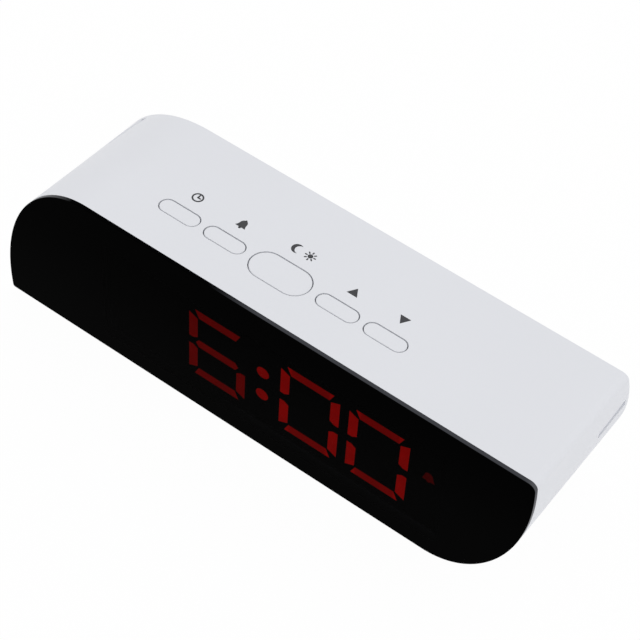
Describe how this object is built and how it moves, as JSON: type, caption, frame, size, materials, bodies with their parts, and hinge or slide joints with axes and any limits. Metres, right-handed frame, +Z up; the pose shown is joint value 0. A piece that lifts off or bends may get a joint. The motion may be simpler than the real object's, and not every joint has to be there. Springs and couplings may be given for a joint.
{
  "type": "digital led desk clock",
  "caption": "Wedge-shaped digital desk clock with a leaf outline, a dark glossy front that shows red segment digits, and a row of flush keys on its sloping white top.",
  "frame": {"origin": "under the middle of the clock, on the surface that its feet stand on", "axes": "+Z up, -Y the way the face looks, +X to the viewer's right along the face"},
  "size_m": [0.1717, 0.0494, 0.0528],
  "materials": {
    "white_case": "fine satin moulding",
    "lens_black": "polished, dark tinted",
    "lit_red": "lit from behind",
    "unlit_red": "not lit",
    "frame_black": "plain moulding",
    "plunger_grey": "plain moulding",
    "board_green": "satin resin coat",
    "led_white": "clear resin",
    "bright_steel": "plated",
    "cell_wrap": "printed sleeve left plain",
    "ribbon_grey": "flexible",
    "lead_red": "flexible sleeve",
    "foot_rubber": "soft"
  },
  "bodies": {
    "case": {"case_shell": "white_case", "rear_cover": "white_case", "front_lens": "lens_black", "hour_segments": "lit_red", "ten_minute_segments": "lit_red", "minute_segments": "lit_red", "colon_dots": "lit_red", "alarm_indicator": "lit_red", "unlit_segments": "unlit_red", "digit_frame": "frame_black", "controller_chip": "frame_black", "buzzer": "frame_black", "mode_switch": "frame_black", "alarm_switch": "frame_black", "snooze_switch": "frame_black", "up_switch": "frame_black", "down_switch": "frame_black", "display_board": "board_green", "key_board": "board_green", "power_board": "board_green", "led_chips": "led_white", "cell_springs": "bright_steel", "cell_plates": "bright_steel", "power_socket": "bright_steel", "clock_crystal": "bright_steel", "cover_screws": "bright_steel", "display_screws": "bright_steel", "key_board_screws": "bright_steel", "power_board_screws": "bright_steel", "lower_cell": "cell_wrap", "middle_cell": "cell_wrap", "upper_cell": "cell_wrap", "key_ribbon": "ribbon_grey", "display_ribbon": "ribbon_grey", "battery_leads": "lead_red", "foot_front_left": "foot_rubber", "foot_front_right": "foot_rubber", "foot_rear_left": "foot_rubber", "foot_rear_right": "foot_rubber"},
    "mode_button": {"mode_key": "white_case", "mode_plunger": "plunger_grey"},
    "alarm_button": {"alarm_key": "white_case", "alarm_plunger": "plunger_grey"},
    "snooze_button": {"snooze_key": "white_case", "snooze_plunger": "plunger_grey"},
    "up_button": {"up_key": "white_case", "up_plunger": "plunger_grey"},
    "down_button": {"down_key": "white_case", "down_plunger": "plunger_grey"},
    "door": {"battery_door": "white_case"}
  },
  "joints": [
    {"name": "mode_press", "type": "slide", "parent": "case", "child": "mode_button", "axis": [0, -0.1438, -0.9896], "range_m": [0, 0.0008], "stiffness_N_per_m": 2000},
    {"name": "alarm_press", "type": "slide", "parent": "case", "child": "alarm_button", "axis": [0, -0.1438, -0.9896], "range_m": [0, 0.0008], "stiffness_N_per_m": 2000},
    {"name": "snooze_press", "type": "slide", "parent": "case", "child": "snooze_button", "axis": [0, -0.1438, -0.9896], "range_m": [0, 0.0008], "stiffness_N_per_m": 2000},
    {"name": "up_press", "type": "slide", "parent": "case", "child": "up_button", "axis": [0, -0.1438, -0.9896], "range_m": [0, 0.0008], "stiffness_N_per_m": 2000},
    {"name": "down_press", "type": "slide", "parent": "case", "child": "down_button", "axis": [0, -0.1438, -0.9896], "range_m": [0, 0.0008], "stiffness_N_per_m": 2000},
    {"name": "door_pull", "type": "slide", "parent": "case", "child": "door", "axis": [0, 1, 0], "range_m": [0, 0.015]}
  ]
}
